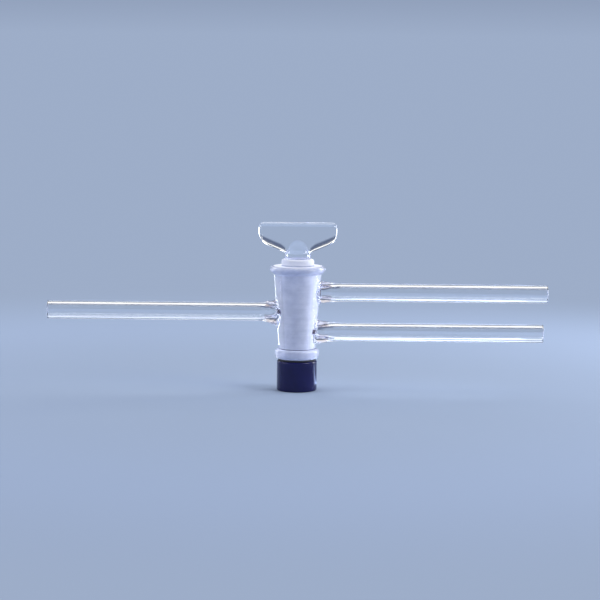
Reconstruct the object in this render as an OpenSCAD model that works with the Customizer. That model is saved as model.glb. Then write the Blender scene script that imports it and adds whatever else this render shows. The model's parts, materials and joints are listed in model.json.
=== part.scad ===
// Three-way glass stopcock with a solid glass plug.
// The plug turns about Z. The single arm lies along -X and the two parallel arms along +X.
// The origin is on the plug's axis, in the plane of the cap's flat base.

/* [Barrel] */
// Length of the barrel from its bead to its lip
barrel_len = 40.7; // [38:0.1:43]
// Thickness of the barrel's wall just under its lip
wall_top = 3.5; // [3:0.1:4.5]
// Thickness of the barrel's wall just above its bead
wall_bottom = 2.8; // [2.4:0.1:4]
// How far the lip stands out of the barrel
lip_overhang = 1.7; // [1.2:0.1:2.5]
// Height of the lip
lip_h = 3.6; // [3.3:0.1:5]
// Radius of the lip's round edge
lip_round = 1.5; // [0.8:0.1:1.6]
// How far the bead stands out of the barrel
bead_overhang = 1.6; // [1.3:0.1:2.5]
// Height of the bead
bead_h = 4.3; // [3.2:0.1:5]
// Radius of the bead's round edges
bead_round = 1.4; // [0.6:0.1:1.5]

/* [Side arms] */
// Outer diameter of the arm tubes
arm_d = 8; // [7:0.1:9]
// Thickness of the arm tubes' wall
arm_wall = 1.2; // [0.8:0.1:1.5]
// Reach of the inlet and the upper outlet from the plug's axis
arm_reach = 109.3; // [60:0.1:140]
// How much shorter the lower outlet is
lower_outlet_cut = 1.6; // [0:0.1:10]
// Height of the inlet above the barrel's small end
inlet_h = 20.5; // [19:0.1:21.5]
// Distance between the two outlets' axes
outlet_pitch = 17.4; // [15:0.1:19]
// How far the inlet's weld stands out of its tube
inlet_weld_rise = 1.6; // [0.8:0.1:2]
// Length of the inlet's weld
inlet_weld_len = 9; // [6:0.5:16]
// How far an outlet's weld stands out of its tube
outlet_weld_rise = 1.1; // [0.6:0.1:1.6]
// Length of an outlet's weld
outlet_weld_len = 14; // [8:0.5:20]
// Length over which each arm's bore narrows towards the barrel
throat_len = 6; // [4:0.5:10]

/* [Plug] */
// Diameter of the ground cone at its large end
plug_d = 14.3; // [13.5:0.1:15.5]
// Length of cone over which its diameter falls by 1
cone_taper = 10; // [9:0.5:14]
// How far the plug's shoulder stands above the barrel's lip
plug_rise = 3.1; // [2.2:0.1:6]
// Radius of the rounded shoulder on top of the cone
shoulder_r = 1.2; // [0.6:0.1:1.8]
// Diameter of the two slanting bores and of the ports they meet
bore_d = 2.5; // [1.5:0.1:3]
// Gap between the ground cones of plug and barrel
ground_gap = 0.03; // [0.02:0.01:0.08]

/* [Handle] */
// Width of the handle
handle_w = 34.5; // [26:0.5:44]
// Height of the handle's straight sides
handle_side_h = 8.5; // [7:0.1:14]
// Thickness of the handle
handle_t = 4.6; // [4:0.1:6]
// Slope of the handle's lower edges in degrees
handle_slope = 22.5; // [15:0.5:25]
// Diameter of the neck between plug and handle
neck_d = 11; // [9:0.1:11.4]
// Height of the neck up to the handle's sloping edges
neck_h = 2.6; // [1.8:0.1:4]
// How far the neck's domed top reaches up the handle's faces
neck_dome_h = 4.3; // [3.6:0.1:4.8]
// Radius of the fillet at the foot of the neck
neck_fillet = 0.4; // [0.2:0.1:0.6]

/* [Retaining cap and washer] */
// Outer diameter of the cap
cap_d = 17.5; // [16:0.1:20]
// Height of the cap
cap_h = 13.1; // [11:0.1:18]
// Thickness of the cap's floor
cap_floor = 2; // [1.2:0.1:3]
// Chamfer on the cap's edges
cap_chamfer = 0.4; // [0.2:0.1:0.8]
// Thickness of the rubber washer
washer_t = 0.9; // [0.6:0.1:1.5]
// How far the washer's edge lies inside the cap's edge
washer_inset = 0.5; // [0.2:0.1:1]
// Length of the cone's end that the cap encloses
cone_end_l = 0.6; // [0.3:0.1:1]
// Step from the cone's small end to the tail
tail_step = 0.5; // [0.3:0.1:1]
// Width of the groove round the tail
groove_w = 2; // [1.5:0.1:3]
// Depth of the groove round the tail
groove_depth = 0.6; // [0.4:0.1:0.9]
// Play between the cap and the plug's tail
cap_play = 0.1; // [0.05:0.05:0.3]

/* [Hidden] */
$fn = 96;

// Running gap between the washer and the turning barrel
washer_gap = 0.05;
// Heights above the base
seat_z = cap_h + washer_t + washer_gap;
lip_z = seat_z + barrel_len;
shoulder_z = lip_z + plug_rise;
inlet_z = seat_z + inlet_h;
upper_z = inlet_z + outlet_pitch / 2;
lower_z = inlet_z - outlet_pitch / 2;
shoulder_round = min(shoulder_r, plug_d / 2 - neck_d / 2 - neck_fillet);
cone_top_z = shoulder_z - shoulder_round;
cone_end_z = cap_h - cone_end_l;
body_top_z = lip_z - lip_h;
body_bottom_z = seat_z + bead_h;

// Radius of the ground cone at a height
function cone_r(z) = (plug_d - (cone_top_z - z) / cone_taper) / 2;
// Radius of the barrel's bore at a height
function seat_r(z) = cone_r(z) + ground_gap;

body_top_r = seat_r(body_top_z) + wall_top;
body_bottom_r = seat_r(body_bottom_z) + wall_bottom;
// Radius of the barrel's outside at a height between its bead and its lip
function body_r(z) = body_bottom_r
    + (body_top_r - body_bottom_r) * (z - body_bottom_z) / (body_top_z - body_bottom_z);

arm_r = arm_d / 2;
arm_bore_r = arm_r - arm_wall;
tail_r = cone_r(cone_end_z) - tail_step;
tail_bottom_z = cap_floor + cap_play;
groove_z = (tail_bottom_z + cone_end_z) / 2;
// A margin that carries a cut clear of a face
past = 1;
// Angles at which the round edges of the lip and the bead run into the barrel's body
lip_under_angle = -50;
bead_upper_angle = 70;
// Points along a weld's outline, and facets round the handle's edge
weld_steps = 8;
handle_facets = 32;

// Points along an arc about a centre, from one angle to another
function arc(centre, r, from, to, steps = 6) =
    [for (i = [0:steps]) let (a = from + (to - from) * i / steps)
        centre + r * [cos(a), sin(a)]];

// Radius of an arm's outside, with its weld swelling towards the barrel
function weld_r(rise, t) = arm_r + rise * pow(1 - t, 2);

// Turned outside of the barrel, with the flared lip and the bead
module barrel_outside() {
    lip_r = body_top_r + lip_overhang;
    bead_r = body_bottom_r + bead_overhang;
    rotate_extrude()
        polygon(concat(
            [[0, seat_z]],
            arc([bead_r - bead_round, seat_z + bead_round], bead_round, -90, 0),
            arc([bead_r - bead_round, body_bottom_z - bead_round], bead_round, 0, bead_upper_angle),
            [[body_bottom_r, body_bottom_z], [body_top_r, body_top_z]],
            arc([lip_r - lip_round, lip_z - lip_round], lip_round, lip_under_angle, 90, 8),
            [[0, lip_z]]
        ));
}

// One arm along +Z from the plug's axis, welded to the barrel at a given radius
module arm_outside(reach, wall_at, rise, len) {
    rotate_extrude()
        polygon(concat(
            [[0, wall_at - wall_bottom], [weld_r(rise, 0), wall_at - wall_bottom]],
            [for (i = [0:weld_steps]) let (t = i / weld_steps) [weld_r(rise, t), wall_at + len * t]],
            [[arm_r, reach], [0, reach]]
        ));
}

// The passage of one arm along +Z: tube bore, narrowed end in the weld and port through the barrel's wall
module arm_passage(reach, wall_at) {
    narrow_r = (arm_bore_r + bore_d / 2) / 2;
    rotate_extrude()
        polygon([
            [0, 0],
            [bore_d / 2, 0],
            [bore_d / 2, wall_at - wall_bottom / 3],
            [narrow_r, wall_at],
            [arm_bore_r, wall_at + throat_len],
            [arm_bore_r, reach + past],
            [0, reach + past]
        ]);
}

// Turns a +Z arm to lie along +X or -X at a height
module lay_arm(z, side) {
    translate([0, 0, z])
        rotate([0, side * 90, 0])
            children();
}

// Blown barrel with its three side arms, fused into one piece of glass
module barrel() {
    color([0.80, 0.86, 0.93, 0.6])
    difference() {
        union() {
            barrel_outside();
            lay_arm(inlet_z, -1)
                arm_outside(arm_reach, body_r(inlet_z), inlet_weld_rise, inlet_weld_len);
            lay_arm(upper_z, 1)
                arm_outside(arm_reach, body_r(upper_z), outlet_weld_rise, outlet_weld_len);
            lay_arm(lower_z, 1)
                arm_outside(arm_reach - lower_outlet_cut, body_r(lower_z), outlet_weld_rise, outlet_weld_len);
        }
        // ground seat of the plug
        translate([0, 0, seat_z - past])
            cylinder(r1 = seat_r(seat_z - past), r2 = seat_r(lip_z + past), h = barrel_len + 2 * past);
        lay_arm(inlet_z, -1)
            arm_passage(arm_reach, body_r(inlet_z));
        lay_arm(upper_z, 1)
            arm_passage(arm_reach, body_r(upper_z));
        lay_arm(lower_z, 1)
            arm_passage(arm_reach - lower_outlet_cut, body_r(lower_z));
    }
}

// Turned part of the plug: grooved tail, ground cone, rounded shoulder and neck
module plug_turning() {
    neck_r = neck_d / 2;
    // the dome's centre, from how high it meets the handle's faces
    dome_z = shoulder_z + neck_h + neck_dome_h - sqrt(neck_r * neck_r - handle_t * handle_t / 4);
    translate([0, 0, dome_z])
        sphere(r = neck_r);
    rotate_extrude()
        polygon(concat(
            [
                [0, tail_bottom_z],
                [tail_r, tail_bottom_z],
                [tail_r, groove_z - groove_w / 2],
                [tail_r - groove_depth, groove_z - groove_w / 2],
                [tail_r - groove_depth, groove_z + groove_w / 2],
                [tail_r, groove_z + groove_w / 2],
                [tail_r, cone_end_z],
                [cone_r(cone_end_z), cone_end_z]
            ],
            arc([plug_d / 2 - shoulder_round, cone_top_z], shoulder_round, 0, 90),
            arc([neck_r + neck_fillet, shoulder_z + neck_fillet], neck_fillet, 270, 180),
            [[neck_r, dome_z], [0, dome_z]]
        ));
}

// Ball that rounds the handle's edge, with its poles on the handle's faces
module edge_ball() {
    rotate([90, 0, 0])
        sphere(d = handle_t, $fn = handle_facets);
}

// Flat handle with round edges, standing in the XZ plane
module handle() {
    edge_r = handle_t / 2;
    edge_x = handle_w / 2;
    // where the sloping lower edges meet the straight sides and the neck
    neck_top_z = shoulder_z + neck_h;
    side_z = neck_top_z + (edge_x - neck_d / 2) * tan(handle_slope);
    foot_x = neck_d / 4;
    foot_z = side_z - (edge_x - foot_x) * tan(handle_slope) + edge_r / cos(handle_slope);
    hull()
        for (side = [-1, 1]) {
            translate([side * foot_x, 0, foot_z])
                edge_ball();
            translate([side * (edge_x - edge_r), 0, side_z + edge_r / cos(handle_slope) - edge_r * tan(handle_slope)])
                edge_ball();
            translate([side * (edge_x - edge_r), 0, side_z + handle_side_h - edge_r])
                edge_ball();
        }
}

// One slanting bore between two points of the ground cone, given by their heights on the -X and +X sides
module slanting_bore(left_z, right_z) {
    left_x = -cone_r(left_z);
    right_x = cone_r(right_z);
    slant = atan2(right_z - left_z, right_x - left_x);
    run = norm([right_x - left_x, right_z - left_z]);
    translate([left_x, 0, left_z])
        rotate([0, 90 - slant, 0])
            translate([0, 0, -bore_d])
                cylinder(d = bore_d, h = run + 2 * bore_d);
}

// Solid glass plug with its handle and two slanting bores
module plug() {
    color([0.86, 0.92, 0.97, 0.4])
    difference() {
        union() {
            plug_turning();
            handle();
        }
        // joins the inlet to the upper outlet as drawn
        slanting_bore(inlet_z, upper_z);
        // joins the inlet to the lower outlet after half a turn
        slanting_bore(lower_z, inlet_z);
    }
}

// Rubber washer between the barrel's bead and the cap
module rubber_washer() {
    washer_r = cap_d / 2 - washer_inset;
    color([0.05, 0.05, 0.06])
    translate([0, 0, cap_h])
        difference() {
            cylinder(r = washer_r, h = washer_t);
            translate([0, 0, -past])
                cylinder(r = cone_r(seat_z) + cap_play, h = washer_t + 2 * past);
        }
}

// Cap that grips the plug's grooved tail and holds the plug in the barrel
module retaining_cap() {
    cap_r = cap_d / 2;
    socket_r = tail_r + cap_play;
    rib_r = socket_r - groove_depth;
    rib_half_w = groove_w / 2 - cap_play;
    color([0.08, 0.08, 0.20])
    rotate_extrude()
        polygon([
            [0, 0],
            [cap_r - cap_chamfer, 0],
            [cap_r, cap_chamfer],
            [cap_r, cap_h - cap_chamfer],
            [cap_r - cap_chamfer, cap_h],
            [cone_r(cap_h) + cap_play, cap_h],
            [cone_r(cap_h) + cap_play, cone_end_z - cap_play],
            [socket_r, cone_end_z - cap_play],
            [socket_r, groove_z + rib_half_w],
            [rib_r, groove_z + rib_half_w],
            [rib_r, groove_z - rib_half_w],
            [socket_r, groove_z - rib_half_w],
            [socket_r, cap_floor],
            [0, cap_floor]
        ]);
}

barrel();
plug();
rubber_washer();
retaining_cap();
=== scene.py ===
import json
from math import atan2, cos, pi, radians, sin, sqrt, tan

import bpy
from mathutils import Matrix, Vector, noise


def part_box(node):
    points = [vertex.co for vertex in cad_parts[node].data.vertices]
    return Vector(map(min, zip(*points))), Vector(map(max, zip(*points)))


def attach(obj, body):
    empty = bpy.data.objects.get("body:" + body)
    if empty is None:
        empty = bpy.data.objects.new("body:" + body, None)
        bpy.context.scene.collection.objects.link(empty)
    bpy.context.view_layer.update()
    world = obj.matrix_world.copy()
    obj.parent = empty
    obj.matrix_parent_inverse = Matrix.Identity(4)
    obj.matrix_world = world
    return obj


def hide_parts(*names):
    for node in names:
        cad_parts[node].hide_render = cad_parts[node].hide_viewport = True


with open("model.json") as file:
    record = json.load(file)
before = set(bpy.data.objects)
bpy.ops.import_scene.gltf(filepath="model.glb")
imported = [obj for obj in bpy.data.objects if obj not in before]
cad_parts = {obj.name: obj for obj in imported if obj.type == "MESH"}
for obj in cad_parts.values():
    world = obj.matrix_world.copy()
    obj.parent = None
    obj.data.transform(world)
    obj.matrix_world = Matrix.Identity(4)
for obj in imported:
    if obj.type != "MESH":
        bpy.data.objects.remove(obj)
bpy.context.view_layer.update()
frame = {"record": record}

mm = 0.001
hair = 0.01 * mm   # two places closer than this count as the same
mounts = {mount["name"]: mount for mount in frame["record"]["mounts"]}
barrelLow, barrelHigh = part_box("barrel")
plugLow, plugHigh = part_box("plug")
washerLow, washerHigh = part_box("rubber_washer")
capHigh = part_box("retaining_cap")[1]
seatZ = barrelLow.z
lipZ = barrelHigh.z

# how every mesh is cleaned up
meshCare = {
    "spinMerge": 0.001 * mm,
    "lastMerge": 0.002 * mm,
    "smoothAngle": 40,
}


def deselectAll():
    if bpy.context.object and bpy.context.object.mode != "OBJECT":
        bpy.ops.object.mode_set(mode="OBJECT")
    bpy.ops.object.select_all(action="DESELECT")


def makeActive(piece):
    deselectAll()
    piece.select_set(True)
    bpy.context.view_layer.objects.active = piece


def editAll(piece):
    # leaves the piece in edit mode with all of it selected
    makeActive(piece)
    bpy.ops.object.mode_set(mode="EDIT")
    bpy.ops.mesh.select_all(action="SELECT")


def selectWhere(piece, test):
    # leaves the piece in edit mode with the vertices whose place passes the test selected
    makeActive(piece)
    bpy.ops.object.mode_set(mode="EDIT")
    bpy.ops.mesh.select_mode(type="VERT")
    bpy.ops.mesh.select_all(action="DESELECT")
    bpy.ops.object.mode_set(mode="OBJECT")
    for vertex in piece.data.vertices:
        vertex.select = test(vertex.co)
    bpy.ops.object.mode_set(mode="EDIT")


def within(value, span):
    return span[0] < value < span[1]


def fromAxis(point):
    return sqrt(point.x ** 2 + point.y ** 2)


def ease(share):
    # from 0 to 1 with a soft start and a soft end
    return share * share * (3 - 2 * share)


def roundCorner(centre, radius, start, end, steps=8):
    # points of an arc in a profile, with its angles in degrees from the radial direction
    angles = [radians(start + (end - start) * i / steps) for i in range(steps + 1)]
    return [(centre[0] + radius * cos(a), centre[1] + radius * sin(a)) for a in angles]


def alongLine(start, end, longest):
    # points after start up to end, no further apart than about longest
    count = max(1, round(sqrt((end[0] - start[0]) ** 2 + (end[1] - start[1]) ** 2) / longest))
    return [(start[0] + (end[0] - start[0]) * i / count, start[1] + (end[1] - start[1]) * i / count)
            for i in range(1, count + 1)]


def turnProfile(name, profile, segments, alongX=False, axisZ=0.0):
    # a point is extruded along a profile of (radius, distance along the axis), then spun round
    def place(point):
        return Vector((point[1], 0, axisZ + point[0])) if alongX else Vector((point[0], 0, point[1]))
    deselectAll()
    bpy.ops.mesh.primitive_plane_add(size=mm, location=place(profile[0]))
    piece = bpy.context.object
    piece.name = name
    bpy.ops.object.transform_apply(location=True, rotation=True, scale=True)
    bpy.ops.object.mode_set(mode="EDIT")
    bpy.ops.mesh.select_mode(type="VERT")
    bpy.ops.mesh.select_all(action="SELECT")
    bpy.ops.mesh.merge(type="CENTER")
    for before, after in zip(profile, profile[1:]):
        bpy.ops.mesh.extrude_vertices_move(TRANSFORM_OT_translate={"value": place(after) - place(before)})
    bpy.ops.mesh.select_all(action="SELECT")
    axis = (1, 0, 0) if alongX else (0, 0, 1)
    bpy.ops.mesh.spin(steps=segments, angle=2 * pi, center=(0, 0, axisZ), axis=axis)
    bpy.ops.mesh.select_all(action="SELECT")
    bpy.ops.mesh.remove_doubles(threshold=meshCare["spinMerge"])
    bpy.ops.mesh.normals_make_consistent(inside=False)
    bpy.ops.object.mode_set(mode="OBJECT")
    return piece


def mirrorX(piece):
    editAll(piece)
    bpy.ops.transform.mirror(constraint_axis=(True, False, False), center_override=(0, 0, 0))
    bpy.ops.mesh.normals_make_consistent(inside=False)
    bpy.ops.object.mode_set(mode="OBJECT")


def combine(piece, other, operation):
    # joins the other solid to the piece or cuts it away, and uses it up
    makeActive(piece)
    bpy.ops.object.modifier_add(type="BOOLEAN")
    boolean = piece.modifiers[-1]
    boolean.operation = operation
    boolean.solver = "EXACT"
    boolean.object = other
    bpy.ops.object.modifier_apply(modifier=boolean.name)
    bpy.data.objects.remove(other)


def finishMesh(piece):
    # faces with many sides are cut into triangles here, so that the mesh stays closed wherever it goes
    editAll(piece)
    bpy.ops.mesh.remove_doubles(threshold=meshCare["lastMerge"])
    bpy.ops.mesh.dissolve_degenerate(threshold=meshCare["lastMerge"])
    bpy.ops.mesh.normals_make_consistent(inside=False)
    bpy.ops.mesh.select_all(action="DESELECT")
    bpy.ops.mesh.select_mode(type="FACE")
    bpy.ops.mesh.select_face_by_sides(number=4, type="GREATER")
    bpy.ops.mesh.quads_convert_to_tris(quad_method="BEAUTY", ngon_method="BEAUTY")
    bpy.ops.object.mode_set(mode="OBJECT")
    bpy.ops.object.shade_smooth_by_angle(angle=radians(meshCare["smoothAngle"]))


def dress(piece, materials, choose=None):
    # choose names one of the materials for a face, from the place of its centre
    names = list(materials)
    piece.data.materials.clear()
    for name in names:
        piece.data.materials.append(materials[name])
    if choose:
        for face in piece.data.polygons:
            face.material_index = names.index(choose(face.center))


def handOver(piece, body, node):
    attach(piece, body)
    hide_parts(node)
    print("made", piece.name, len(piece.data.polygons), "faces")


# the ground cone that plug and barrel share
groundCone = {
    "topRadius": 7.15 * mm,
    "topZ": lipZ + 1.9 * mm,
    "taper": 10,           # its diameter narrows by one part in this many
    "gap": 0.03 * mm,
}


def coneRadius(z):
    return groundCone["topRadius"] - (groundCone["topZ"] - z) / groundCone["taper"] / 2


def seatRadius(z):
    return coneRadius(z) + groundCone["gap"]


# angles are in degrees: 0 points away from the axis and 90 up
barrelShape = {
    "wallTop": 3.5 * mm,
    "wallBottom": 2.8 * mm,
    "lipOverhang": 1.7 * mm,
    "lipHeight": 3.6 * mm,
    "lipRound": 1.5 * mm,
    "lipArc": (-46, 90),
    "beadOverhang": 1.6 * mm,
    "beadHeight": 4.3 * mm,
    "beadRound": 1.4 * mm,
    "beadArc": (0, 72),
    "seatChamfer": 0.25 * mm,
    "cornerRound": 0.3 * mm,      # the inner corners above the bead and below the lip
    "cornerArcLow": (250, 180),
    "cornerArcHigh": (180, 132),
    "cornerSink": 0.4,
    "ringSpacing": 1.2 * mm,
    "segments": 144,
    # how far each finish and each painted shade reaches
    "seatDepth": 0.3 * mm,
    "portShadeReach": (-4 * mm, 0.1 * mm),
    "weldAround": (2.9 * mm, 7 * mm),
    "weldOffLevel": 2.7 * mm,
    "weldOutside": 0.15 * mm,
    "weldReach": (0.1 * mm, 4.5 * mm),
    "cornerShadeLine": (-0.25 * mm, 0.5 * mm),
    "cornerShadeOutside": 0.4 * mm,
    "lipHaze": 0.1 * mm,
}
bodyTopZ = lipZ - barrelShape["lipHeight"]
bodyBottomZ = seatZ + barrelShape["beadHeight"]
bodyTopRadius = seatRadius(bodyTopZ) + barrelShape["wallTop"]
bodyBottomRadius = seatRadius(bodyBottomZ) + barrelShape["wallBottom"]


def bodyRadius(z):
    share = (z - bodyBottomZ) / (bodyTopZ - bodyBottomZ)
    return bodyBottomRadius + (bodyTopRadius - bodyBottomRadius) * share


def makeBarrelBody():
    shape = barrelShape
    lipRadius = bodyTopRadius + shape["lipOverhang"]
    beadRadius = bodyBottomRadius + shape["beadOverhang"]
    lip, bead = shape["lipRound"], shape["beadRound"]
    corner, chamfer = shape["cornerRound"], shape["seatChamfer"]
    cornerLowZ = bodyBottomZ + corner
    cornerHighZ = bodyTopZ - corner * shape["cornerSink"]
    profile = [(seatRadius(seatZ) + chamfer, seatZ)]
    profile += roundCorner((beadRadius - bead, seatZ + bead), bead, -90, 0)
    profile += roundCorner((beadRadius - bead, bodyBottomZ - bead), bead, *shape["beadArc"])
    profile += roundCorner((bodyBottomRadius + corner, cornerLowZ), corner, *shape["cornerArcLow"], steps=4)
    profile += alongLine(profile[-1], (bodyTopRadius, bodyTopZ - corner), shape["ringSpacing"])
    profile += roundCorner((bodyTopRadius + corner, cornerHighZ), corner, *shape["cornerArcHigh"], steps=3)
    profile += roundCorner((lipRadius - lip, lipZ - lip), lip, *shape["lipArc"], steps=14)
    profile += [(seatRadius(lipZ) + chamfer, lipZ), (seatRadius(lipZ - chamfer), lipZ - chamfer)]
    profile += alongLine(profile[-1], (seatRadius(seatZ + chamfer), seatZ + chamfer), shape["ringSpacing"])
    profile.append(profile[0])
    return turnProfile("barrel_glass", profile, shape["segments"])


# what the three arms on the barrel share
armShape = {
    "radius": mounts["inlet_tube"]["dims"]["r_mm"] * mm,
    "endRound": 0.35 * mm,
    "rootDepth": 1.9 * mm,       # how deep the root goes into the barrel's wall
    "rootRim": 0.25 * mm,
    "rootEdge": 0.12 * mm,
    "filletRadius": 1.0 * mm,
    "filletAngles": range(8, 64, 7),
    "flareBend": 1.5,
    "rippleScale": 620,
    "rippleShift": 900,
    "rippleFrom": 0.8 * mm,
    "boreRadius": mounts["inlet_bore"]["dims"]["r_mm"] * mm,
    "portRadius": 1.25 * mm,
    "portEnd": 1.0 * mm,
    "throatRound": 0.7 * mm,
    "throatArc": (-80, 0),
    "throatSink": 0.2 * mm,
    "throatBend": 1.5,
    "throatRings": 14,
    "cutPast": 1 * mm,           # how far a cut goes past the glass
    "ringSpacing": 0.45 * mm,
    "segments": 96,
    "boreSegments": 64,
    "shorterOutlet": 1.6 * mm,
}
# one entry for each arm; dark is where a painted shade darkens the glass round its port, measured from the
# arm's axis
arms = {
    "inlet": {
        "z": mounts["inlet_tube"]["pos_m"][2], "side": -1, "reach": -barrelLow.x,
        "weldRise": 1.5 * mm, "weldSag": 0.5 * mm, "weldLength": 8.5 * mm,
        "throatRadius": 1.95 * mm, "throatLength": 8 * mm, "ripple": 0.32 * mm, "dark": (0, 1.4 * mm),
    },
    "upperOutlet": {
        "z": mounts["upper_outlet_tube"]["pos_m"][2], "side": 1, "reach": barrelHigh.x,
        "weldRise": 0.9 * mm, "weldSag": 0.1 * mm, "weldLength": 11 * mm,
        "throatRadius": 2.1 * mm, "throatLength": 9 * mm, "ripple": 0.15 * mm, "dark": (1.4 * mm, 2.15 * mm),
    },
    "lowerOutlet": {
        "z": mounts["lower_outlet_tube"]["pos_m"][2], "side": 1,
        "reach": barrelHigh.x - armShape["shorterOutlet"],
        "weldRise": 1.25 * mm, "weldSag": 0.15 * mm, "weldLength": 11 * mm,
        "throatRadius": 2.1 * mm, "throatLength": 9 * mm, "ripple": 0.15 * mm, "dark": (0, 1.4 * mm),
    },
}


def makeArm(name, arm):
    # the solid arm with its flared weld, whose root follows the barrel's round side
    shape = armShape
    wallAt = bodyRadius(arm["z"])
    fillet = shape["filletRadius"]
    length = arm["weldLength"]
    rootRadius = shape["radius"] + arm["weldRise"]
    rimRadius = rootRadius + fillet + shape["rootRim"]
    profile = [(0, wallAt - shape["rootDepth"]), (rimRadius, wallAt - shape["rootDepth"])]
    profile.append((rimRadius, wallAt - shape["rootEdge"]))
    for angle in shape["filletAngles"]:
        turn = radians(angle)
        profile.append((rootRadius + fillet * (1 - sin(turn)), wallAt + fillet * (1 - cos(turn))))
    rings = round(length / shape["ringSpacing"])
    for i in range(2, rings + 1):
        t = i / rings
        flare = arm["weldRise"] * (1 - t) ** shape["flareBend"]
        profile.append((shape["radius"] + flare, wallAt + length * t))
    end = shape["endRound"]
    profile.append((shape["radius"], arm["reach"] - end))
    profile += roundCorner((shape["radius"] - end, arm["reach"] - end), end, 0, 90, steps=5)
    profile.append((0, arm["reach"]))
    piece = turnProfile(name, profile, shape["segments"], alongX=True, axisZ=arm["z"])
    shift = Vector((arm["z"] * shape["rippleShift"], 0, 0))   # so that no two welds ripple alike
    for vertex in piece.data.vertices:
        out = vertex.co.x - wallAt
        if out < length:
            surface = sqrt(max(bodyRadius(vertex.co.z) ** 2 - vertex.co.y ** 2, 0))
            weight = 1 if out < 0 else (1 - out / length) ** 2
            vertex.co.x += (surface - wallAt) * weight
            vertex.co.z -= arm["weldSag"] * weight
            if out > shape["rippleFrom"]:
                ripple = noise.noise(vertex.co * shape["rippleScale"] + shift)
                outwards = Vector((0, vertex.co.y, vertex.co.z - arm["z"])).normalized()
                vertex.co += outwards * ripple * arm["ripple"] * weight ** 0.5
    if arm["side"] < 0:
        mirrorX(piece)
    return piece


def makePassage(name, arm):
    # the arm's open bore, its narrowed round end and the port through the barrel's wall
    shape = armShape
    wallAt = bodyRadius(arm["z"])
    startAt = seatRadius(arm["z"]) - shape["cutPast"]
    port, bore, throat = shape["portRadius"], shape["boreRadius"], arm["throatRadius"]
    corner, throatAt = shape["throatRound"], wallAt - shape["throatSink"]
    profile = [(0, startAt), (port, startAt), (port, wallAt - shape["portEnd"])]
    profile += roundCorner((throat - corner, throatAt), corner, *shape["throatArc"], steps=6)
    for i in range(1, shape["throatRings"] + 1):
        t = i / shape["throatRings"]
        widened = sin(t * pi / 2) ** shape["throatBend"]
        profile.append((throat + (bore - throat) * widened, throatAt + arm["throatLength"] * t))
    end, mouthAt = shape["endRound"], arm["reach"]
    profile += [(bore, mouthAt - end), (bore + end, mouthAt)]
    profile += [(bore + end, mouthAt + shape["cutPast"]), (0, mouthAt + shape["cutPast"])]
    piece = turnProfile(name, profile, shape["boreSegments"], alongX=True, axisZ=arm["z"])
    if arm["side"] < 0:
        mirrorX(piece)
    return piece


def chooseBarrelGlass(point):
    shape = barrelShape
    if point.z > lipZ - hair:
        return "shoulder"
    if fromAxis(point) - seatRadius(point.z) < shape["seatDepth"]:
        return "ground"
    outside = fromAxis(point) - bodyRadius(point.z)
    for arm in arms.values():
        around = sqrt(point.y ** 2 + (point.z - arm["z"]) ** 2)
        outwards = point.x * arm["side"] - bodyRadius(arm["z"])
        # painted shade: the glass round each port is tinted dark, so that the hole reads as shaded
        if within(around, arm["dark"]) and within(outwards, shape["portShadeReach"]):
            return "port"
        # painted shade: the top and bottom of each weld's outside are tinted grey-mauve, which dims their
        # bright refractions
        onWeld = within(around, shape["weldAround"]) and within(outwards, shape["weldReach"])
        offLevel = abs(point.z - arm["z"]) > shape["weldOffLevel"]   # the arm's middle stays clear
        if onWeld and offLevel and outside > shape["weldOutside"]:
            return "weld"
    # painted shade: a thin dark line in the inner corner above the bead
    if within(point.z - bodyBottomZ, shape["cornerShadeLine"]) and outside < shape["cornerShadeOutside"]:
        return "corner"
    if point.z > bodyTopZ + shape["lipHaze"] or point.z < bodyBottomZ:
        return "hazy"
    return "clear"


def makeBarrel(materials):
    barrel = makeBarrelBody()
    for name, arm in arms.items():
        combine(barrel, makeArm(name, arm), "UNION")
    for name, arm in arms.items():
        combine(barrel, makePassage(name, arm), "DIFFERENCE")
    finishMesh(barrel)
    dress(barrel, materials, chooseBarrelGlass)
    handOver(barrel, "barrel", "barrel")


plugShape = {
    "shoulderZ": lipZ + 3.1 * mm,
    "shoulderRound": 1.2 * mm,
    "neckBelow": 0.5 * mm,       # how far neck and cone reach below the shoulder's round
    "coneBelow": 0.2 * mm,
    "coneEndZ": capHigh.z - 0.6 * mm,
    "tailStep": 0.5 * mm,
    "grooveWidth": 2.0 * mm,
    "grooveDepth": 0.6 * mm,
    "boreRadius": 1.25 * mm,
    "boreSegments": 48,
    "edgeRound": 0.3 * mm,
    "ringSpacing": 1.2 * mm,
    "segments": 144,
    # how far each finish reaches
    "shoulderReach": (-2.7 * mm, 1.3 * mm),
    "shoulderInside": 0.3 * mm,
    "groundBelow": 1 * mm,
    "groundDepth": 0.06 * mm,
}
handleShape = {
    "width": plugHigh.x - plugLow.x,
    "topZ": plugHigh.z,
    "sideHeight": 8.5 * mm,
    "thickness": 4.6 * mm,
    "slope": 22.5,
    "footX": 4.0 * mm,
    "edgeRound": 2.28 * mm,
    "edgeSegments": 10,
    "neckRadius": 5.5 * mm,
    "neckHalfDepth": 4.2 * mm,
    "neckHeight": 2.6 * mm,
    "neckFillet": 0.4 * mm,
    "neckSegments": 96,
    "taperFrom": 0.3 * mm,       # the neck's faces start to run out this far below its top
    "taperHeight": 7.0 * mm,
    "taperBend": 1.7,
    "taperRings": 24,
    "tipHalfDepth": 2.25 * mm,
    "topCorner": {"draw": 0.12 * mm, "inwards": (-1, 0, -1)},
    "lowCorner": {"draw": 0.5 * mm, "inwards": (-1, 0, 0.67)},
    "cornerReach": 4.5 * mm,
    "slopeRound": 4.4 * mm,
    "slopeLeast": 0.05 * mm,
    "slopeStart": (4.4 * mm, 7.4 * mm),
    "slopeSpill": 1 * mm,
    "slopeSmoothing": 24,
    "voxel": 0.16 * mm,
    "smoothing": 14,
    "runOutWidth": 6.4 * mm,
    "runOutHeight": (3.04 * mm, 10.34 * mm),
    "runOutSmoothing": 150,
}


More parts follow.
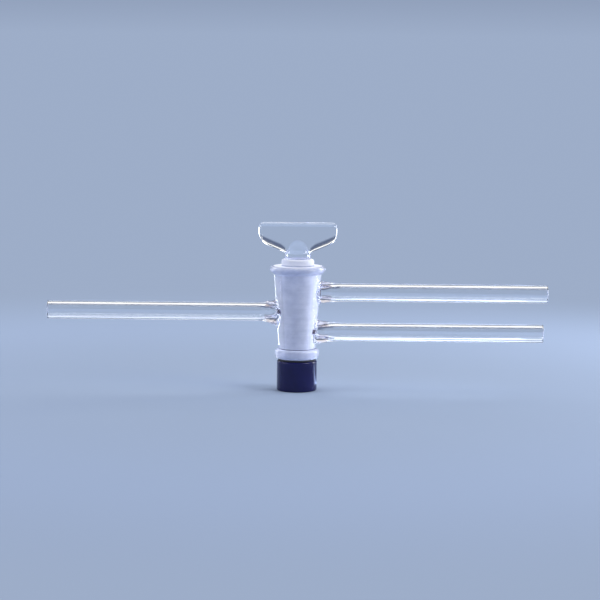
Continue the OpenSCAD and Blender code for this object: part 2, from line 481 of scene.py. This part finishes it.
def makeHandle():
    # a flat six-sided tablet, then rounded all round by half its thickness
    shape = handleShape
    halfWidth, depth = shape["width"] / 2, shape["thickness"]
    cornerZ = shape["topZ"] - shape["sideHeight"]
    drop = (halfWidth - shape["footX"]) * tan(radians(shape["slope"]))
    deselectAll()
    bpy.ops.mesh.primitive_plane_add(size=1, location=(0, -depth / 2, (cornerZ + shape["topZ"]) / 2),
                                     rotation=(pi / 2, 0, 0))
    tablet = bpy.context.object
    tablet.name = "plug_glass"
    tablet.scale = (shape["width"], shape["sideHeight"], 1)
    bpy.ops.object.transform_apply(location=True, rotation=True, scale=True)
    selectWhere(tablet, lambda point: point.z < cornerZ + hair)
    bpy.ops.mesh.select_mode(type="EDGE")
    bpy.ops.mesh.extrude_region_move(TRANSFORM_OT_translate={"value": (0, 0, -drop)})
    bpy.ops.transform.resize(value=(shape["footX"] / halfWidth, 1, 1),
                             center_override=(0, -depth / 2, cornerZ - drop))
    bpy.ops.mesh.select_all(action="SELECT")
    bpy.ops.mesh.dissolve_limited(angle_limit=radians(1))
    bpy.ops.mesh.select_all(action="SELECT")
    bpy.ops.mesh.extrude_region_move(TRANSFORM_OT_translate={"value": (0, depth, 0)})
    bpy.ops.mesh.select_all(action="SELECT")
    bpy.ops.mesh.normals_make_consistent(inside=False)
    bpy.ops.mesh.bevel(offset=shape["edgeRound"], offset_type="OFFSET", segments=shape["edgeSegments"],
                       profile=0.5, clamp_overlap=False)
    bpy.ops.object.mode_set(mode="OBJECT")
    return tablet


def makeNeck():
    # shoulder and oval neck, which runs out into the two faces of the handle
    shape = handleShape
    radius, fillet = shape["neckRadius"], shape["neckFillet"]
    shoulderZ, shoulder = plugShape["shoulderZ"], plugShape["shoulderRound"]
    coneTopZ = shoulderZ - shoulder
    taperZ = shoulderZ + shape["neckHeight"] - shape["taperFrom"]
    tipZ = taperZ + shape["taperHeight"]
    bottomZ = coneTopZ - plugShape["neckBelow"]
    profile = [(0, bottomZ), (coneRadius(bottomZ), bottomZ)]
    profile += roundCorner((groundCone["topRadius"] - shoulder, coneTopZ), shoulder, 0, 90, steps=10)
    profile += roundCorner((radius + fillet, shoulderZ + fillet), fillet, 270, 180, steps=5)
    rings = shape["taperRings"]
    profile += [(radius, taperZ + shape["taperHeight"] * i / rings) for i in range(rings + 1)]
    profile.append((0, tipZ))
    neck = turnProfile("neck", profile, shape["neckSegments"])
    base, tip = shape["neckHalfDepth"] / radius, shape["tipHalfDepth"] / radius
    for vertex in neck.data.vertices:
        if vertex.co.z > shoulderZ - hair and fromAxis(vertex.co) < radius + fillet + hair:
            left = min(1, (tipZ - vertex.co.z) / shape["taperHeight"])
            vertex.co.y *= tip + (base - tip) * left ** shape["taperBend"]
    return neck


def roundHandleCorners(plug):
    # the corners of the outline are drawn in a little, both faces alike
    shape = handleShape
    for z, corner in ((shape["topZ"], shape["topCorner"]),
                      (shape["topZ"] - shape["sideHeight"], shape["lowCorner"])):
        inwards = Vector(corner["inwards"]).normalized()
        for side in (-1, 1):
            for vertex in plug.data.vertices:
                aside = vertex.co.x - side * shape["width"] / 2
                gap = sqrt(aside ** 2 + (vertex.co.z - z) ** 2) / shape["cornerReach"]
                if gap < 1:
                    move = inwards * corner["draw"] * (1 - gap ** 2) ** 2
                    vertex.co += Vector((move.x * side, 0, move.z))


def thinLowerEdges(plug):
    # the two slopes run out in a longer round than the handle's other edges
    shape = handleShape
    start, full = shape["slopeStart"]
    slope = radians(shape["slope"])
    cornerZ = shape["topZ"] - shape["sideHeight"]

    def depthInside(point):
        return (point.z - cornerZ) * cos(slope) + (shape["width"] / 2 - abs(point.x)) * sin(slope)

    def roundDepth(inside, reach):
        return sqrt(1 - (1 - min(1, inside / reach)) ** 2)
    for vertex in plug.data.vertices:
        aside = abs(vertex.co.x)
        inside = max(depthInside(vertex.co), shape["slopeLeast"])
        if inside < shape["slopeRound"] and aside > start:
            before = roundDepth(inside, shape["thickness"] / 2)
            after = roundDepth(inside, shape["slopeRound"])
            share = ease(min(1, (aside - start) / (full - start)))
            vertex.co.y *= 1 + (after / before - 1) * share
    selectWhere(plug, lambda point: depthInside(point) < shape["slopeRound"] + shape["slopeSpill"]
                and abs(point.x) > start)
    bpy.ops.mesh.vertices_smooth(factor=0.5, repeat=shape["slopeSmoothing"])
    bpy.ops.object.mode_set(mode="OBJECT")


def smoothRunOut(plug):
    # the neck's end melts into the handle's faces
    shape = handleShape
    selectWhere(plug, lambda point: abs(point.x) < shape["runOutWidth"]
                and within(point.z - plugShape["shoulderZ"], shape["runOutHeight"]))
    bpy.ops.mesh.vertices_smooth(factor=0.5, repeat=shape["runOutSmoothing"])
    bpy.ops.object.mode_set(mode="OBJECT")


def makeConeAndTail():
    shape = plugShape
    tailBottomZ = plugLow.z
    coneEndZ = shape["coneEndZ"]
    tailRadius = coneRadius(coneEndZ) - shape["tailStep"]
    grooveRadius = tailRadius - shape["grooveDepth"]
    grooveZ = (tailBottomZ + coneEndZ) / 2
    halfGroove = shape["grooveWidth"] / 2
    edge = shape["edgeRound"]
    topZ = shape["shoulderZ"] - shape["shoulderRound"] - shape["coneBelow"]
    profile = [(0, tailBottomZ), (tailRadius - edge, tailBottomZ), (tailRadius, tailBottomZ + edge)]
    profile += [(tailRadius, grooveZ - halfGroove), (grooveRadius, grooveZ - halfGroove)]
    profile += [(grooveRadius, grooveZ + halfGroove), (tailRadius, grooveZ + halfGroove)]
    profile += [(tailRadius, coneEndZ), (coneRadius(coneEndZ), coneEndZ)]
    profile += alongLine(profile[-1], (coneRadius(topZ), topZ), shape["ringSpacing"])
    profile.append((0, topZ))
    return turnProfile("cone", profile, shape["segments"])


def makeSlantingBore(leftZ, rightZ):
    radius = plugShape["boreRadius"]
    left = Vector((-coneRadius(leftZ), 0, leftZ))
    right = Vector((coneRadius(rightZ), 0, rightZ))
    run = right - left
    depth = run.length + 4 * radius   # goes past the cone at both ends
    deselectAll()
    bpy.ops.mesh.primitive_cylinder_add(vertices=plugShape["boreSegments"], radius=radius, depth=depth,
                                        location=(left + right) / 2, rotation=(0, atan2(run.x, run.z), 0))
    bpy.ops.object.transform_apply(location=True, rotation=True, scale=True)
    return bpy.context.object


def choosePlugGlass(point):
    shape = plugShape
    onShoulder = within(point.z - shape["shoulderZ"], shape["shoulderReach"])
    if onShoulder and fromAxis(point) > handleShape["neckRadius"] + shape["shoulderInside"]:
        return "shoulder"
    onCone = shape["coneEndZ"] < point.z < shape["shoulderZ"] - shape["groundBelow"]
    if onCone and abs(fromAxis(point) - coneRadius(point.z)) < shape["groundDepth"]:
        return "ground"
    return "clear"


def makePlug(materials):
    plug = makeHandle()
    combine(plug, makeNeck(), "UNION")
    makeActive(plug)
    bpy.ops.object.modifier_add(type="REMESH")
    remesh = plug.modifiers[-1]
    remesh.mode = "VOXEL"
    remesh.voxel_size = handleShape["voxel"]
    bpy.ops.object.modifier_apply(modifier=remesh.name)
    bpy.ops.object.modifier_add(type="SMOOTH")
    smooth = plug.modifiers[-1]
    smooth.factor = 0.5
    smooth.iterations = handleShape["smoothing"]
    bpy.ops.object.modifier_apply(modifier=smooth.name)
    roundHandleCorners(plug)
    thinLowerEdges(plug)
    smoothRunOut(plug)
    combine(plug, makeConeAndTail(), "UNION")
    for left, right in (("inlet", "upperOutlet"), ("lowerOutlet", "inlet")):
        combine(plug, makeSlantingBore(arms[left]["z"], arms[right]["z"]), "DIFFERENCE")
    finishMesh(plug)
    dress(plug, materials, choosePlugGlass)
    handOver(plug, "plug", "plug")


washerShape = {
    "edgeRound": 0.25 * mm,
    "play": 0.1 * mm,
    "segments": 96,
}


def makeWasher(materials):
    edge = washerShape["edgeRound"]
    outer = washerHigh.x
    inner = coneRadius(seatZ) + washerShape["play"]
    profile = [(inner, washerLow.z), (outer - edge, washerLow.z)]
    profile += roundCorner((outer - edge, washerLow.z + edge), edge, -90, 0, steps=4)
    profile += roundCorner((outer - edge, washerHigh.z - edge), edge, 0, 90, steps=4)
    profile += [(inner, washerHigh.z), (inner, washerLow.z)]
    washer = turnProfile("black_washer", profile, washerShape["segments"])
    finishMesh(washer)
    dress(washer, materials)
    handOver(washer, "plug", "rubber_washer")


capShape = {
    "edgeRound": 0.5 * mm,
    "floor": 2.0 * mm,
    "play": 0.1 * mm,
    "ringSpacing": 1.5 * mm,
    "segments": 128,
}


def makeCap(materials):
    # the socket fits the plug's tail, and its rib snaps into the tail's groove
    shape = capShape
    outer = capHigh.x
    height = capHigh.z
    edge, play = shape["edgeRound"], shape["play"]
    coneEndZ = plugShape["coneEndZ"]
    socket = coneRadius(coneEndZ) - plugShape["tailStep"] + play
    rib = socket - plugShape["grooveDepth"]
    grooveZ = (plugLow.z + coneEndZ) / 2
    halfRib = plugShape["grooveWidth"] / 2 - play
    mouth = coneRadius(height) + play
    profile = [(0, 0)]
    profile += roundCorner((outer - edge, edge), edge, -90, 0, steps=6)
    profile += alongLine(profile[-1], (outer, height - edge), shape["ringSpacing"])
    profile += roundCorner((outer - edge, height - edge), edge, 0, 90, steps=6)
    profile += [(mouth, height), (mouth, coneEndZ - play), (socket, coneEndZ - play)]
    profile += [(socket, grooveZ + halfRib), (rib, grooveZ + halfRib), (rib, grooveZ - halfRib)]
    profile += [(socket, grooveZ - halfRib), (socket, shape["floor"]), (0, shape["floor"])]
    cap = turnProfile("cap_plastic", profile, shape["segments"])
    finishMesh(cap)
    dress(cap, materials)
    handOver(cap, "plug", "retaining_cap")


class Nodes:
    # a short way to add and link the nodes of one material or group
    def __init__(self, tree):
        self.tree = tree

    def put(self, node, socket, value):
        # the value is a plain one or another node's output
        if isinstance(value, bpy.types.NodeSocket):
            self.tree.links.new(value, node.inputs[socket])
        else:
            node.inputs[socket].default_value = value

    def add(self, kind, **inputs):
        node = self.tree.nodes.new(kind)
        for name, value in inputs.items():
            self.put(node, name.replace("_", " "), value)
        return node

    def addGroup(self, group, **inputs):
        node = self.tree.nodes.new("ShaderNodeGroup")
        node.node_tree = group
        for name, value in inputs.items():
            self.put(node, name.replace("_", " "), value)
        return node

    def calculate(self, operation, first, second):
        node = self.tree.nodes.new("ShaderNodeMath")
        node.operation = operation
        self.put(node, 0, first)
        self.put(node, 1, second)
        return node.outputs[0]

    def remap(self, value, span, result=(0, 1), soft=False):
        # while the value goes through span, the outcome goes through result
        node = self.tree.nodes.new("ShaderNodeMapRange")
        if soft:
            node.interpolation_type = "SMOOTHSTEP"
        for name, given in (("Value", value), ("From Min", span[0]), ("From Max", span[1]),
                            ("To Min", result[0]), ("To Max", result[1])):
            self.put(node, name, given)
        return node.outputs[0]

    def tint(self, share, low, high):
        mix = self.tree.nodes.new("ShaderNodeMix")
        mix.data_type = "RGBA"
        self.put(mix, "Factor", share)
        self.put(mix, "A", (*low, 1))
        self.put(mix, "B", (*high, 1))
        return mix.outputs["Result"]

    def mixShaders(self, share, first, second):
        mix = self.tree.nodes.new("ShaderNodeMixShader")
        for socket, value in enumerate((share, first.outputs[0], second.outputs[0])):
            self.put(mix, socket, value)
        return mix

    def finish(self, shader):
        out = self.tree.nodes.new("ShaderNodeOutputMaterial")
        self.put(out, "Surface", shader.outputs[0])


def newMaterial(name):
    material = bpy.data.materials.new(name)
    material.use_nodes = True
    material.node_tree.nodes.clear()
    return material, Nodes(material.node_tree)


def newGroup(name, inputs, outputs):
    group = bpy.data.node_groups.new(name, "ShaderNodeTree")
    for socket, kind in inputs.items():
        group.interface.new_socket(name=socket, in_out="INPUT", socket_type=kind)
    for socket in outputs:
        group.interface.new_socket(name=socket, in_out="OUTPUT", socket_type="NodeSocketFloat")
    nodes = Nodes(group)
    return group, nodes, nodes.add("NodeGroupInput").outputs, nodes.add("NodeGroupOutput")


grainPattern = {
    "flatten": (0.06, 0.06, 1.0),   # stretches a noise into lines round the axis
    "mottle": (0.75, 1.25),
    "noiseSpan": (0.3, 0.7),        # a noise mostly lies between these
}


def buildGrainGroup():
    # fine grain, turned lines across the axis and soft patches, for glass, plastic and rubber
    group, nodes, given, end = newGroup(
        "surfaceGrain",
        {"Place": "NodeSocketVector", "Grain Scale": "NodeSocketFloat",
         "Line Scale": "NodeSocketFloat", "Patch Scale": "NodeSocketFloat"},
        ("Grain", "Lines", "Patches", "Mottle"))
    grain = nodes.add("ShaderNodeTexNoise", Vector=given["Place"], Scale=given["Grain Scale"],
                      Detail=3.0, Roughness=0.6)
    flat = nodes.add("ShaderNodeMapping", Vector=given["Place"], Scale=grainPattern["flatten"])
    lines = nodes.add("ShaderNodeTexNoise", Vector=flat.outputs[0], Scale=given["Line Scale"],
                      Detail=4.0, Roughness=0.6)
    patches = nodes.add("ShaderNodeTexNoise", Vector=given["Place"], Scale=given["Patch Scale"],
                        Detail=3.0, Roughness=0.55)
    nodes.put(end, "Grain", grain.outputs["Fac"])
    nodes.put(end, "Lines", lines.outputs["Fac"])
    nodes.put(end, "Patches", patches.outputs["Fac"])
    both = nodes.calculate("ADD", lines.outputs["Fac"], patches.outputs["Fac"])
    nodes.put(end, "Mottle", nodes.remap(both, grainPattern["mottle"]))
    return group


def addGrain(nodes, scales):
    # a finish gives the scales of the patterns that it uses
    node = nodes.addGroup(surfaceGrain, Place=nodes.add("ShaderNodeTexCoord").outputs["Object"])
    for socket, scale in scales.items():
        nodes.put(node, socket, scale)
    return node.outputs


def makeGlassOutput(nodes, shader, shadowTint):
    # lamps shine through glass, so its shadow is a light one
    clear = nodes.add("ShaderNodeBsdfTransparent", Color=(*shadowTint, 1))
    path = nodes.add("ShaderNodeLightPath")
    nodes.finish(nodes.mixShaders(path.outputs["Is Shadow Ray"], shader, clear))


clearFinish = {
    "ior": 1.47,
    "wave": 0.01,
    "waveDepth": 0.2 * mm,
    "paler": 1.02,
    "scales": {"Patch Scale": 90},
    "shadow": (0.97, 0.98, 1.0),
}
clearColours = {
    "clearGlass": (0.985, 0.992, 1.0),
    # painted shade, dark, for the glass round the ports
    "portShadeGlass": (0.16, 0.13, 0.16),
    # painted shade, nearly black, for the thin line in the corner above the bead
    "cornerShadeGlass": (0.03, 0.035, 0.07),
    # painted shade, grey-mauve, for the top and bottom of the welds
    "weldShadeGlass": (0.42, 0.38, 0.42),
}


def makeClearGlass(name):
    finish, colour = clearFinish, clearColours[name]
    material, nodes = newMaterial(name)
    grain = addGrain(nodes, finish["scales"])
    bump = nodes.add("ShaderNodeBump", Strength=finish["wave"], Distance=finish["waveDepth"],
                     Height=grain["Patches"])
    shade = nodes.tint(grain["Patches"], colour, [min(1, part * finish["paler"]) for part in colour])
    shader = nodes.add("ShaderNodeBsdfPrincipled", Base_Color=shade, Normal=bump.outputs[0],
                       Roughness=0.0, IOR=finish["ior"], Transmission_Weight=1.0)
    makeGlassOutput(nodes, shader, finish["shadow"])
    return material


groundFinish = {
    "bump": 0.3,
    "bumpDepth": 0.03 * mm,
    "scales": {"Grain Scale": 4000, "Line Scale": 480, "Patch Scale": 330},
    "shadow": (0.85, 0.88, 0.95),
}
groundKinds = {
    "groundGlass": {"light": (0.55, 0.58, 0.70), "dark": (0.42, 0.455, 0.58),
                    "transmission": 0.18, "roughness": (0.6, 0.75)},
    "shoulderGlass": {"light": (0.88, 0.89, 0.95), "dark": (0.78, 0.79, 0.88),
                      "transmission": 0.15, "roughness": (0.5, 0.65)},
    "hazyGlass": {"light": (0.78, 0.80, 0.90), "dark": (0.58, 0.62, 0.76),
                  "transmission": 0.5, "roughness": (0.12, 0.22)},
}


def makeGroundGlass(name):
    finish, kind = groundFinish, groundKinds[name]
    material, nodes = newMaterial(name)
    grain = addGrain(nodes, finish["scales"])
    bump = nodes.add("ShaderNodeBump", Strength=finish["bump"], Distance=finish["bumpDepth"],
                     Height=grain["Grain"])
    shader = nodes.add("ShaderNodeBsdfPrincipled", IOR=clearFinish["ior"], Normal=bump.outputs[0],
                       Base_Color=nodes.tint(grain["Mottle"], kind["dark"], kind["light"]),
                       Roughness=nodes.remap(grain["Lines"], grainPattern["noiseSpan"], kind["roughness"]),
                       Transmission_Weight=kind["transmission"])
    makeGlassOutput(nodes, shader, finish["shadow"])
    return material


capFinish = {
    "light": (0.006, 0.006, 0.088),
    "dark": (0.003, 0.002, 0.042),
    "roughness": (0.14, 0.2),
    "roughnessFrom": "Patches",
    "specular": 0.4,
    "bump": 0.06,
    "bumpDepth": 0.05 * mm,
    "scales": {"Grain Scale": 1500, "Patch Scale": 150},
}
rubberFinish = {
    "light": (0.03, 0.03, 0.034),
    "dark": (0.012, 0.012, 0.016),
    "roughness": (0.55, 0.75),
    "roughnessFrom": "Grain",
    "specular": 0.5,
    "bump": 0.25,
    "bumpDepth": 0.04 * mm,
    "scales": {"Grain Scale": 3000, "Patch Scale": 200},
}


def makeMouldedFinish(name, finish):
    # an opaque moulded face, for plastic and rubber
    material, nodes = newMaterial(name)
    grain = addGrain(nodes, finish["scales"])
    bump = nodes.add("ShaderNodeBump", Strength=finish["bump"], Distance=finish["bumpDepth"],
                     Height=grain["Grain"])
    rough = nodes.remap(grain[finish["roughnessFrom"]], grainPattern["noiseSpan"], finish["roughness"])
    shader = nodes.add("ShaderNodeBsdfPrincipled", IOR=1.5, Normal=bump.outputs[0], Roughness=rough,
                       Base_Color=nodes.tint(grain["Patches"], finish["dark"], finish["light"]),
                       Specular_IOR_Level=finish["specular"])
    nodes.finish(shader)
    return material


stageShape = {
    "radius": 2.4,
    "wallHeight": 0.75,
    "curve": 0.35,
    "curveSteps": 12,
    "segments": 96,
    # painted shade: a little darker than farColour, to even out the lamps' pool of light near the object
    "nearColour": (0.315, 0.385, 0.515),
    "farColour": (0.34, 0.42, 0.58),
    "wallColour": (0.10, 0.13, 0.22),
    "wallFade": (0.16, 0.4),
    "darkBehind": (0.1, 1.2),
    "poolRadius": (0.05, 0.27),
    "backdropRadius": (0.2, 0.42),
    "roughness": 0.9,
    "specular": 0.1,
}


def buildDistanceGroup():
    # how far a place lies from the object, as 0 up to the near radius and 1 beyond the far one
    group, nodes, given, end = newGroup(
        "awayFromObject", {"Near": "NodeSocketFloat", "Far": "NodeSocketFloat"}, ("Away",))
    length = nodes.tree.nodes.new("ShaderNodeVectorMath")
    length.operation = "LENGTH"
    nodes.put(length, 0, nodes.add("ShaderNodeTexCoord").outputs["Object"])
    away = nodes.remap(length.outputs["Value"], (given["Near"], given["Far"]), soft=True)
    nodes.put(end, "Away", away)
    return group


def addDistance(nodes, radii):
    return nodes.addGroup(awayFromObject, Near=radii[0], Far=radii[1]).outputs["Away"]


def makeFloorPaint():
    # lamps light the floor near the object, so it is painted a little darker there, a painted shade that
    # evens out their pool of light; farther out it keeps its own even tone
    shape = stageShape
    material, nodes = newMaterial("paleFloor")
    near = nodes.tint(addDistance(nodes, shape["poolRadius"]), shape["nearColour"], shape["farColour"])
    lit = nodes.add("ShaderNodeBsdfPrincipled", Roughness=shape["roughness"], Base_Color=near,
                    Specular_IOR_Level=shape["specular"])
    place = nodes.add("ShaderNodeSeparateXYZ", Vector=nodes.add("ShaderNodeTexCoord").outputs["Object"])
    rise = nodes.remap(place.outputs["Z"], shape["wallFade"])
    behind = nodes.remap(place.outputs["Y"], shape["darkBehind"], (0, rise))   # the wall darkens only behind
    even = nodes.add("ShaderNodeEmission", Strength=1.0,
                     Color=nodes.tint(behind, shape["farColour"], shape["wallColour"]))
    path = nodes.add("ShaderNodeLightPath").outputs
    seen = nodes.calculate("MAXIMUM", path["Is Camera Ray"], path["Is Glossy Ray"])
    seen = nodes.calculate("MAXIMUM", seen, path["Is Transmission Ray"])
    share = nodes.calculate("MULTIPLY", seen, addDistance(nodes, shape["backdropRadius"]))
    nodes.finish(nodes.mixShaders(share, lit, even))
    return material


def makeStage():
    # one pale floor that curves up into a wall all round
    shape = stageShape
    radius, curve = shape["radius"], shape["curve"]
    profile = [(0, 0), (radius - curve, 0)]
    profile += roundCorner((radius - curve, curve), curve, -90, 0, steps=shape["curveSteps"])
    profile.append((radius, shape["wallHeight"]))
    floor = turnProfile("floor", profile, shape["segments"])
    editAll(floor)
    bpy.ops.mesh.flip_normals()
    bpy.ops.object.mode_set(mode="OBJECT")
    bpy.ops.object.shade_smooth_by_angle(angle=radians(meshCare["smoothAngle"]))
    dress(floor, {"paint": makeFloorPaint()})
    print("made floor")


# azimuth is seen from above: 0 is the camera's side, 90 the right and 180 behind
lamps = {
    "keyRight": {"azimuth": 118, "distance": 0.5, "height": 0.16, "aimHeight": 0.16, "size": (0.18, 0.32),
                 "power": 1.4, "colour": (0.93, 0.96, 1.0)},
    "fillLeft": {"azimuth": -134, "distance": 0.55, "height": 0.18, "aimHeight": 0.18, "size": (0.14, 0.36),
                 "power": 0.35, "colour": (0.95, 0.97, 1.0)},
    "softLeft": {"azimuth": -78, "distance": 1.0, "height": 0.4, "aimHeight": 0.04, "size": (0.6, 0.5),
                 "power": 3.6, "colour": (0.96, 0.98, 1.0)},
    "overhead": {"azimuth": 180, "distance": 0.71, "height": 0.74, "aimHeight": 0.04, "size": (1.6, 0.63),
                 "power": 3.6, "colour": (1.0, 0.97, 0.88)},
    "top": {"azimuth": 180, "distance": 0.05, "height": 1.25, "aimHeight": 0.04, "size": (0.8, 0.7),
            "power": 5.0, "colour": (1.0, 1.0, 1.0)},
    "softRight": {"azimuth": 66, "distance": 1.2, "height": 0.75, "aimHeight": 0.04, "size": (0.7, 0.7),
                  "power": 10, "colour": (1.0, 1.0, 1.0)},
    # the last two lie on the floor and shine up: thin lines along the arms, and the cap's highlight
    "underLight": {"azimuth": 180, "distance": 0.032, "height": 0.001, "size": (0.23, 0.024),
                   "power": 0.015, "colour": (0.92, 0.93, 1.0), "glossy": False},
    "capGlint": {"azimuth": 114, "distance": 0.062, "height": 0.0015, "size": (0.009, 0.095),
                 "power": 0.012, "colour": (0.46, 0.60, 1.0)},
}
room = {"colour": (0.55, 0.64, 0.85), "strength": 0.3}


def makeLamps():
    for name, lamp in lamps.items():
        turn = radians(lamp["azimuth"])
        place = Vector((sin(turn) * lamp["distance"], -cos(turn) * lamp["distance"], lamp["height"]))
        bpy.ops.object.light_add(type="AREA", location=place)
        light = bpy.context.object
        light.name = name
        if "aimHeight" in lamp:
            aim = Vector((0, 0, lamp["aimHeight"]))
            light.rotation_euler = (place - aim).to_track_quat("Z", "Y").to_euler()
        else:
            light.rotation_euler = (pi, 0, turn)
        light.data.shape = "RECTANGLE"
        light.data.size, light.data.size_y = lamp["size"]
        light.data.energy = lamp["power"]
        light.data.color = lamp["colour"]
        light.visible_camera = False
        light.visible_glossy = lamp.get("glossy", True)
    print("made", len(lamps), "lamps")


def lightRoom():
    world = bpy.data.worlds.new("room")
    bpy.context.scene.world = world
    world.use_nodes = True
    background = world.node_tree.nodes["Background"]
    background.inputs["Color"].default_value = (*room["colour"], 1)
    background.inputs["Strength"].default_value = room["strength"]
    print("lit the room")


cameraView = {
    "elevation": 6.5,
    "lean": 0.57,
    "distance": 1.0,
    "frameWidth": 0.2625,
    "sensor": 36,
    "nearest": 0.01,
    "aim": Vector((1.1 * mm, 0, 39.7 * mm)),
}


def makeCamera():
    rise, lean = radians(cameraView["elevation"]), radians(cameraView["lean"])
    look = Vector((0, cos(rise), -sin(rise)))
    bpy.ops.object.camera_add(location=cameraView["aim"] - look * cameraView["distance"])
    camera = bpy.context.object
    turn = Matrix.Rotation(-lean, 4, look) @ Matrix.Rotation(radians(90) - rise, 4, "X")
    camera.rotation_euler = turn.to_euler()
    camera.data.lens = cameraView["sensor"] * cameraView["distance"] / cameraView["frameWidth"]
    camera.data.clip_start = cameraView["nearest"]
    bpy.context.scene.camera = camera
    print("made camera")


surfaceGrain = buildGrainGroup()
awayFromObject = buildDistanceGroup()
makeCamera()
makeStage()
makeLamps()
lightRoom()
clear = makeClearGlass("clearGlass")
ground = makeGroundGlass("groundGlass")
shoulder = makeGroundGlass("shoulderGlass")
makeBarrel({
    "clear": clear,
    "ground": ground,
    "port": makeClearGlass("portShadeGlass"),
    "hazy": makeGroundGlass("hazyGlass"),
    "corner": makeClearGlass("cornerShadeGlass"),
    "shoulder": shoulder,
    "weld": makeClearGlass("weldShadeGlass"),
})
makePlug({"clear": clear, "ground": ground, "shoulder": shoulder})
makeWasher({"rubber": makeMouldedFinish("blackRubber", rubberFinish)})
makeCap({"plastic": makeMouldedFinish("darkCapPlastic", capFinish)})

# light passes many glass walls before it is through the object
lightPaths = {"bounces": 96, "clearBounces": 32}
scene = bpy.context.scene
scene.view_settings.view_transform = "Standard"
scene.cycles.max_bounces = lightPaths["bounces"]
scene.cycles.transmission_bounces = lightPaths["bounces"]
scene.cycles.glossy_bounces = lightPaths["bounces"]
scene.cycles.transparent_max_bounces = lightPaths["clearBounces"]
